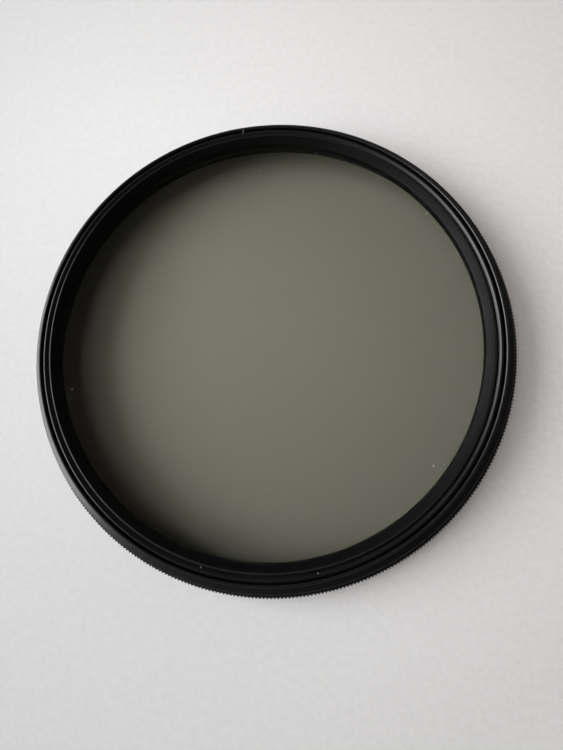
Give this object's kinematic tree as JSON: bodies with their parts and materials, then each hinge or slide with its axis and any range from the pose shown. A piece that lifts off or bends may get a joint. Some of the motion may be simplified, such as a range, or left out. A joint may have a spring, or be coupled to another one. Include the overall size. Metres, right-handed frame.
{
  "type": "screw-in lens filter",
  "caption": "Round screw-in polarising lens filter: threaded mount ring, and a knurled front ring with tinted glass that turns on it.",
  "frame": {"origin": "on the filter's axis, in the plane of the thread's lower end, where it rests", "axes": "+Z along the filter's axis, out of the lens; X and Y across the ring"},
  "size_m": [0.0806, 0.0806, 0.0077],
  "materials": {
    "satin_black": "satin black anodised, fine turning lines",
    "matte_black": "satin black anodised rim with a matte black bevel",
    "mount_black": "black anodised, cut thread",
    "tinted_glass": "polished glass, coated, some dust",
    "polarizer": "grey-green polarising film",
    "retarder": "clear retarder film",
    "spring_steel": "drawn flat-sided spring wire"
  },
  "bodies": {
    "mount": {"mount_ring": "mount_black", "snap_ring": "spring_steel"},
    "front": {"rotating_ring": "satin_black", "retaining_ring": "matte_black", "front_glass": "tinted_glass", "polarizing_film": "polarizer", "quarter_wave_film": "retarder", "rear_glass": "tinted_glass"}
  },
  "joints": [
    {"name": "front_turn", "type": "hinge", "parent": "mount", "child": "front", "pos_m": [0, 0, 0.0031], "axis": [0, 0, 1], "continuous": true}
  ]
}
